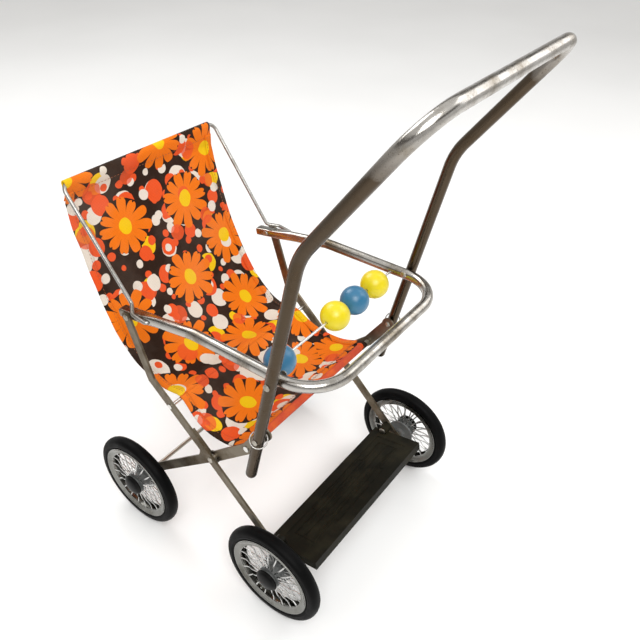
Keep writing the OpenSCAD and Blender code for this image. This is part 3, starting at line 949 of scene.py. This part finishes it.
def make_wheels():
    masters = {
        "tyre": (tyre_mesh(), "tyre_rubber"),
        "rim": (rim_mesh(), "wheel_rim"),
        "spokes": (spokes_mesh(), "wheel_spoke"),
        "hub": (hub_mesh(), "hub_grey"),
    }
    cap = cap_mesh()
    # stop is the angle in degrees at which the wheels stand
    for end, axle, body, stop in (
        ("front", FRONT_AXLE, "legs", 7),
        ("rear", REAR_AXLE, "rear_links", 12),
    ):
        caps = []
        for side, sign in (("left", -1), ("right", 1)):
            spin = Matrix.Rotation(math.radians(stop + 3 * sign), 4, "Z")
            turn = Matrix.Rotation(math.radians(90 * sign), 4, "Y")
            place = Matrix.Translation(at(sign * WHEEL_X, axle) * MM) @ turn @ spin
            for part, (master, slot) in masters.items():
                obj = link_new(f"wheel_{part}_{end}_{side}", master.data.copy())
                obj.data.transform(place)
                if part == "spokes":
                    bevel(obj, 0.18, 2)
                stand_in(obj, f"wheel_{end}_{side}", f"{part}_{end}_{side}")
            one = bpy.data.objects.new("cap_copy", cap.data.copy())
            one.data.transform(place)
            caps.append(one)
        obj = join(f"wheel_caps_{end}", caps)
        stand_in(obj, body, f"hub_caps_{end}")
    for master, _ in masters.values():
        bpy.data.objects.remove(master)
    bpy.data.objects.remove(cap)


# ---- Sling: one cloth from the wire's top bar, over the cross rod, to the front rod ----

CLOTH_T = 0.9
BAR_WRAP = WIRE_R + 0.65 + CLOTH_T / 2
ROD_WRAP = 2.25 + 0.55 + CLOTH_T / 2
OVER_CROSS = Vector((CROSS_ROD[0], CROSS_ROD[1] + 2.6))
HEM_W = 9
STITCH_IN = 6.6
STITCH_L = 2.6
STITCH_GAP = 1.5
ROW_STEP = 2.4
COLUMNS = 64
SLEEVE = 22  # from the top of the bar to its seam
FRONT_SLEEVE = 26  # from the front sleeve's mouth to the cloth's end
# Turned hem behind the bar, the same for both edges but for the slack of the cloth below it
TOP_HEM = [(1.0, 388.5), (0.6, 396)]
# Side view of the left and right edges, (y, z), from below the bar to the cross rod
LEFT_BACK = [
    (190.0, 402.8), (193.4, 394), (197.6, 385), (199.4, 376), (195.8, 364), (191, 350), (187, 329),
    (181.5, 307), (171.5, 287), (163, 266), (156.5, 248), (146.5, 233), (134, 219), (120, 209),
    (103, 203.4), (84, 202.2),
]
RIGHT_BACK = [
    (189.7, 402.8), (190.2, 394), (190.8, 385), (190.2, 376), (187, 364), (183, 350), (178.5, 329),
    (171, 307), (163.5, 287), (154.5, 266), (147, 248), (137.5, 233), (123.5, 219), (110, 210),
    (95, 204), (80, 202.2),
]
# And on from the cross rod to the front rod
LEFT_BASE = [(55, 190), (46, 178.5), (33, 172.2), (14, 169.5), (-3, 172), (-17, 181.5), (-27, 192)]
RIGHT_BASE = [
    (53.5, 196.5), (41, 190), (28, 187.3), (13, 186.8), (-3, 188.5), (-17, 192.3), (-27, 196.3)
]


def smooth_line(points, samples=8):
    """A curve through all the points, with that many samples between each two."""
    p = np.array(points, float)
    out = []
    for i in range(len(p) - 1):
        a, b, c, d = p[max(i - 1, 0)], p[i], p[i + 1], p[min(i + 2, len(p) - 1)]
        square, cube = 2 * a - 5 * b + 4 * c - d, 3 * b - a - 3 * c + d
        for t in np.arange(samples) / samples:
            out.append(0.5 * (2 * b + (c - a) * t + square * t**2 + cube * t**3))
    return np.array(out + [p[-1]])


def lengths_along(line):
    """How far along the line each of its points is."""
    return np.concatenate([[0], np.cumsum(np.linalg.norm(np.diff(line, axis=0), axis=1))])


def round_bar(bar, radius, angles):
    """Points round a bar in the side view, at angles in degrees."""
    angles = [math.radians(a) for a in angles]
    return [(bar[0] + radius * math.cos(a), bar[1] + radius * math.sin(a)) for a in angles]


def resample(left, right, step):
    """Both edges at rows of equal length along the cloth's middle, and each row's place along it."""
    mid = (left + right) / 2
    s = lengths_along(mid)
    rows = np.linspace(0, s[-1], math.ceil(s[-1] / step) + 1)
    pick = lambda edge: np.stack([np.interp(rows, s, edge[:, k]) for k in (0, 1)], 1)
    return pick(left), pick(right), rows


def cloth_lines():
    """Side views of both edges of the whole cloth, and the points of the cross rod and the bar."""
    around = round_bar(WIRE_TOP, BAR_WRAP, range(-20, 190, 20))
    front = round_bar(FRONT_ROD, ROD_WRAP, range(70, 271, 25))
    y, z = FRONT_ROD
    under = [(y + 4, z - ROD_WRAP - 0.9), (y + 10.5, z - 9.6)]
    edges = []
    for back, base in ((LEFT_BACK, LEFT_BASE), (RIGHT_BACK, RIGHT_BASE)):
        y, z = zip(*reversed(back))
        hem = [(np.interp(h, z, y) + CLOTH_T + off, h) for off, h in TOP_HEM]
        edges.append(hem + around + back + [tuple(OVER_CROSS)] + base + front + under)
    samples = 8
    left, right = (smooth_line(edge, samples) for edge in edges)
    start, split = len(hem), len(hem + around + back)
    return left, right, split * samples, (start + 5) * samples


def noise_at(x, s, size, seed):
    return mathnoise.noise(Vector((x / size + seed * 7.3, s / size + seed * 3.1, seed * 1.7)))


def cloth_grid(left, right, rows, first_row_s, held):
    """Points of the cloth, rows by columns, with slack ripples where held(s) is 0."""
    grid = np.zeros((len(rows), COLUMNS + 1, 3))
    mid = (left + right) / 2
    tangent = np.gradient(mid, axis=0)
    tangent /= np.linalg.norm(tangent, axis=1)[:, None]
    normal = np.stack([-tangent[:, 1], tangent[:, 0]], 1)
    for i, s in enumerate(rows + first_row_s):
        low = np.interp(s, [0, 120, 260], [-101.5, -100.5, -99.5])
        high = np.interp(s, [0, 60, 230, 300, 400], [95.5, 96.5, 100.5, 100.5, 99.5])
        slack = 1 - held(s)
        for k in range(COLUMNS + 1):
            t = k / COLUMNS
            x = low + (high - low) * t
            p = left[i] * (1 - t) + right[i] * t
            edge = max(0.0, abs(t - 0.5) * 2 - 0.72) / 0.28
            ripple = 1.3 * noise_at(x * 0.7, s, 46, 1) + 0.6 * noise_at(x, s * 1.3, 21, 2)
            flutter = 2.6 * edge**2 * noise_at(math.copysign(30, t - 0.5), s, 24, 3)
            wave = edge * 1.5 * noise_at(math.copysign(50, t - 0.5), s, 33, 4)
            belly = 2.2 * (1 - (2 * t - 1) ** 2) * slack
            p = p + normal[i] * ((ripple + flutter) * slack - belly)
            grid[i, k] = (x + wave * slack, p[0], p[1])
    return grid


def grid_object(name, grid, s, material):
    """A mesh of a grid of points, with its flat place in metres as its UV map."""
    rows, columns = grid.shape[:2]
    faces = [
        (i * columns + k, i * columns + k + 1, (i + 1) * columns + k + 1, (i + 1) * columns + k)
        for i in range(rows - 1)
        for k in range(columns - 1)
    ]
    obj = add_object(name, grid.reshape(-1, 3), faces, material)
    layer = obj.data.uv_layers.new(name="cloth")
    flat = np.zeros((rows * columns, 2))
    flat[:, 0] = grid[:, :, 0].reshape(-1) * MM
    flat[:, 1] = np.repeat(s, columns) * MM
    for loop in obj.data.loops:
        layer.data[loop.index].uv = flat[loop.vertex_index]
    return obj


def settle(obj, grid, pinned, frames=14, cap=4.0):
    """Lets the cloth hang from its pinned rows, and gives its settled points."""
    group = obj.vertex_groups.new(name="pinned")
    columns = grid.shape[1]
    for i, weight in enumerate(pinned):
        group.add(list(range(i * columns, (i + 1) * columns)), float(weight), "REPLACE")
    cloth = obj.modifiers.new("cloth", "CLOTH")
    settings = cloth.settings
    settings.quality = 8
    settings.mass = 0.22
    settings.tension_stiffness = 40
    settings.compression_stiffness = 12
    settings.shear_stiffness = 12
    settings.bending_stiffness = 0.8
    settings.vertex_group_mass = "pinned"
    cloth.collision_settings.use_collision = False
    cloth.collision_settings.use_self_collision = False
    cloth.point_cache.frame_start = 1
    cloth.point_cache.frame_end = frames
    scene = bpy.context.scene
    for frame_number in range(1, frames + 1):
        scene.frame_set(frame_number)
    evaluated = obj.evaluated_get(bpy.context.evaluated_depsgraph_get())
    moved = np.array([v.co for v in evaluated.to_mesh().vertices]) / MM
    evaluated.to_mesh_clear()
    obj.modifiers.remove(cloth)
    scene.frame_set(1)
    shift = moved - grid.reshape(-1, 3)
    length = np.linalg.norm(shift, axis=1, keepdims=True)
    shift *= np.minimum(1, cap / np.maximum(length, 1e-6))
    free = 1 - np.repeat(np.asarray(pinned, float), columns)[:, None]
    settled = grid.reshape(-1, 3) + shift * free
    obj.data.vertices.foreach_set("co", (settled * MM).reshape(-1).astype(np.float32))
    obj.data.update()
    return settled.reshape(grid.shape)


def grid_normals(grid):
    along = np.gradient(grid, axis=0)
    across = np.gradient(grid, axis=1)
    n = np.cross(across, along)
    return n / np.linalg.norm(n, axis=2, keepdims=True)


def stitches(name, rows_of_points, normals):
    """Short raised threads along lines of points; they show on both faces of the cloth."""
    verts, faces = [], []
    sides, rings = 6, (-1.0, -0.62, 0.0, 0.62, 1.0)
    for line, normal in zip(rows_of_points, normals):
        s = lengths_along(line)
        pitch = STITCH_L + STITCH_GAP
        for start in np.arange(pitch / 2, s[-1] - STITCH_L, pitch):
            mid = start + STITCH_L / 2
            sample = lambda at, table: np.array([np.interp(at, s, table[:, k]) for k in range(3)])
            c, n = sample(mid, line), sample(mid, normal)
            n /= np.linalg.norm(n)
            d = sample(start + STITCH_L, line) - sample(start, line)
            d /= np.linalg.norm(d)
            side = np.cross(d, n)
            for face in (1, -1):
                base = len(verts)
                lift = CLOTH_T * (0.5 if face > 0 else 1.5) + 0.02
                for r in rings:
                    girth = 0.27 * math.sqrt(max(0.0, 1 - 0.85 * r * r))
                    for k in range(sides):
                        a = math.tau * k / sides
                        verts.append(
                            c
                            + n * face * (lift - 0.12 * r * r)
                            + d * r * STITCH_L / 2
                            + (side * math.cos(a) + n * math.sin(a)) * girth
                        )
                faces += tube_faces(len(rings), sides, base)
    return add_object(name, verts, faces, THREAD)


def thicken(obj, thickness):
    mod = obj.modifiers.new("cloth", "SOLIDIFY")
    mod.thickness = thickness * MM
    mod.offset = 0
    mod.use_even_offset = False
    return obj


def side_hems(name, grid, normals, s, rows):
    """The turned strip along each edge, on the cloth's seat side; the print runs on over it."""
    parts = []
    for edge, inner in ((0, 1), (-1, -1)):
        columns = []
        for depth in (0.0, 0.15, 3.0, 6.0, HEM_W):
            line = grid[rows, edge].copy()
            line[:, 0] += inner * depth
            near = np.abs(grid[rows, :, 0] - line[:, :1]).argmin(axis=1)
            pick = grid[rows, near]
            lift = CLOTH_T * (0.35 if depth == 0 else 0.97)
            line[:, 1:] = pick[:, 1:] - normals[rows, near][:, 1:] * lift
            columns.append(line)
        parts.append(grid_object("strip", np.stack(columns, 1), s[rows], FABRIC))
    return join(name, parts)


def make_sling():
    left, right, split, top = cloth_lines()
    s_top, s_cross, s_end = lengths_along((left + right) / 2)[[top, split, -1]]
    sleeve = s_top + SLEEVE
    front = s_end - FRONT_SLEEVE

    def held(s):
        """1 where the cloth is held by a bar, 0 where it hangs free."""
        ramp = lambda d, reach: min(max(1 - d / reach, 0), 1) ** 2
        return max(
            1 if s < sleeve else ramp(s - sleeve, 30),
            ramp(max(abs(s - s_cross) - 3, 0), 16),
            1 if s > front else ramp(front - s, 22),
        )

    made = []
    for name, part, s0 in (
        ("back", slice(0, split + 1), 0.0),
        ("base", slice(split, len(left)), s_cross),
    ):
        l, r, rows = resample(left[part], right[part], ROW_STEP)
        grid = cloth_grid(l, r, rows, s0, held)
        s = rows + s0 - s_top
        obj = grid_object(f"sling_{name}", grid, s, FABRIC)
        pinned = [1.0 if held(v + s0) > 0.55 else 0.0 for v in rows]
        grid = settle(obj, grid, pinned)
        normals = grid_normals(grid)
        main = np.array([i for i, v in enumerate(rows + s0) if sleeve - 8 < v < front + 10])
        hem = side_hems(f"sling_{name}_hems", grid, normals, s, main)
        lines, line_normals = [], []
        inset = round(STITCH_IN / 3.1)
        for k in (inset, COLUMNS - inset):
            lines.append(grid[main, k])
            line_normals.append(normals[main, k])
        # Seams across the cloth: one below the bar, two behind the front rod
        cross_rows = {"back": [s_top + 18.5], "base": [s_end - 33.5, s_end - 36.5]}[name]
        for place in cross_rows:
            i = int(np.abs(rows + s0 - place).argmin())
            lines.append(grid[i, 2:-2])
            line_normals.append(normals[i, 2:-2])
        sewn = stitches(f"sling_{name}_stitches", lines, line_normals)
        thicken(obj, CLOTH_T)
        thicken(hem, CLOTH_T)
        made.append((name, obj, hem, sewn, grid, rows + s0))

    # The coloured tape sewn round the front edge
    name, obj, hem, sewn, grid, s = made[1]
    tape_rows = [i for i, v in enumerate(s) if s_end - 26.5 < v < s_end - 11]
    normals = grid_normals(grid)
    tape_points = grid[tape_rows][:, 1:-1] - normals[tape_rows][:, 1:-1] * (CLOTH_T * 0.5 + 0.32)
    tape = thicken(grid_object("front_binding", tape_points, s[tape_rows], BINDING), 0.6)

    bodies = {"back": ("armrest", "legs"), "base": ("legs", "rear_links")}
    ends = {
        "back": ((0, 0.186, 0.345), (0, 0.100, 0.204)),
        "base": ((0, 0.058, 0.196), (0, -0.024, 0.190)),
    }
    for name, *pieces, _, _ in made:
        for piece in pieces + ([tape] if name == "base" else []):
            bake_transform(piece, *bodies[name], start=ends[name][0], end=ends[name][1])
    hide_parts("seat_back")
    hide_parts("seat_base", "seat_front")


make_handle()
make_bumper()
make_wire()
make_footrest_ribs()
make_rings()
make_rivets()
make_beads()
make_wheels()
make_sling()

# ---- Camera, light, floor ----


def make_stage():
    far = 4000
    corners = [(-far, -far, 0), (far, -far, 0), (far, far, 0), (-far, far, 0)]
    add_object("floor", corners, [(0, 1, 2, 3)], pale_floor())
    world = bpy.data.worlds.new("studio")
    bpy.context.scene.world = world
    world.use_nodes = True
    tree = world.node_tree
    # A room with a bright ceiling, pale walls, and a dark band high on them for the chrome
    direction = tree.nodes.new("ShaderNodeTexCoord")
    parts = tree.nodes.new("ShaderNodeSeparateXYZ")
    ramp = tree.nodes.new("ShaderNodeValToRGB")
    tree.links.new(direction.outputs["Generated"], parts.inputs[0])
    tree.links.new(parts.outputs["Z"], ramp.inputs["Fac"])
    tree.links.new(ramp.outputs["Color"], tree.nodes["Background"].inputs["Color"])
    stops = (
        (0.0, (0.86, 0.86, 0.855)), (0.23, (0.80, 0.795, 0.785)), (0.31, (0.055, 0.047, 0.038)),
        (0.48, (0.06, 0.05, 0.042)), (0.60, (1, 0.99, 0.97)),
    )
    ramp.color_ramp.elements.remove(ramp.color_ramp.elements[1])
    ramp.color_ramp.elements[0].position = stops[0][0]
    ramp.color_ramp.elements[0].color = (*stops[0][1], 1)
    for place, tint in stops[1:]:
        ramp.color_ramp.elements.new(place).color = (*tint, 1)
    tree.nodes["Background"].inputs["Strength"].default_value = 0.9
    for name, place, size, power in (
        ("key", (-0.9, -0.9, 1.7), 1.1, 26),
        ("fill", (1.3, -0.7, 1.3), 1.2, 10),
        ("back", (0.3, 1.4, 1.6), 1.0, 14),
    ):
        light = bpy.data.lights.new(name, "AREA")
        light.size = size
        light.energy = power
        lamp = link_new(name, light)
        lamp.location = place
        aim = Vector((0, 0, 0.25)) - Vector(place)
        lamp.rotation_euler = aim.to_track_quat("-Z", "Y").to_euler()


def make_camera():
    """Stands where the photograph was taken from."""
    data = bpy.data.cameras.new("camera")
    data.sensor_width = 36
    data.lens = 38.83
    data.clip_start = 0.01
    camera = link_new("camera", data)
    right = Vector((0.59699, -0.80202, 0.01929)).normalized()
    ahead = Vector((0.64795, 0.46785, -0.60106)).normalized()
    up = right.cross(ahead).normalized()
    turn = Matrix((right, up, -ahead)).transposed().to_4x4()
    camera.matrix_world = Matrix.Translation((-0.44585, -0.3645, 0.7077)) @ turn
    bpy.context.scene.camera = camera


make_stage()
make_camera()
bpy.context.scene.view_settings.view_transform = "Standard"
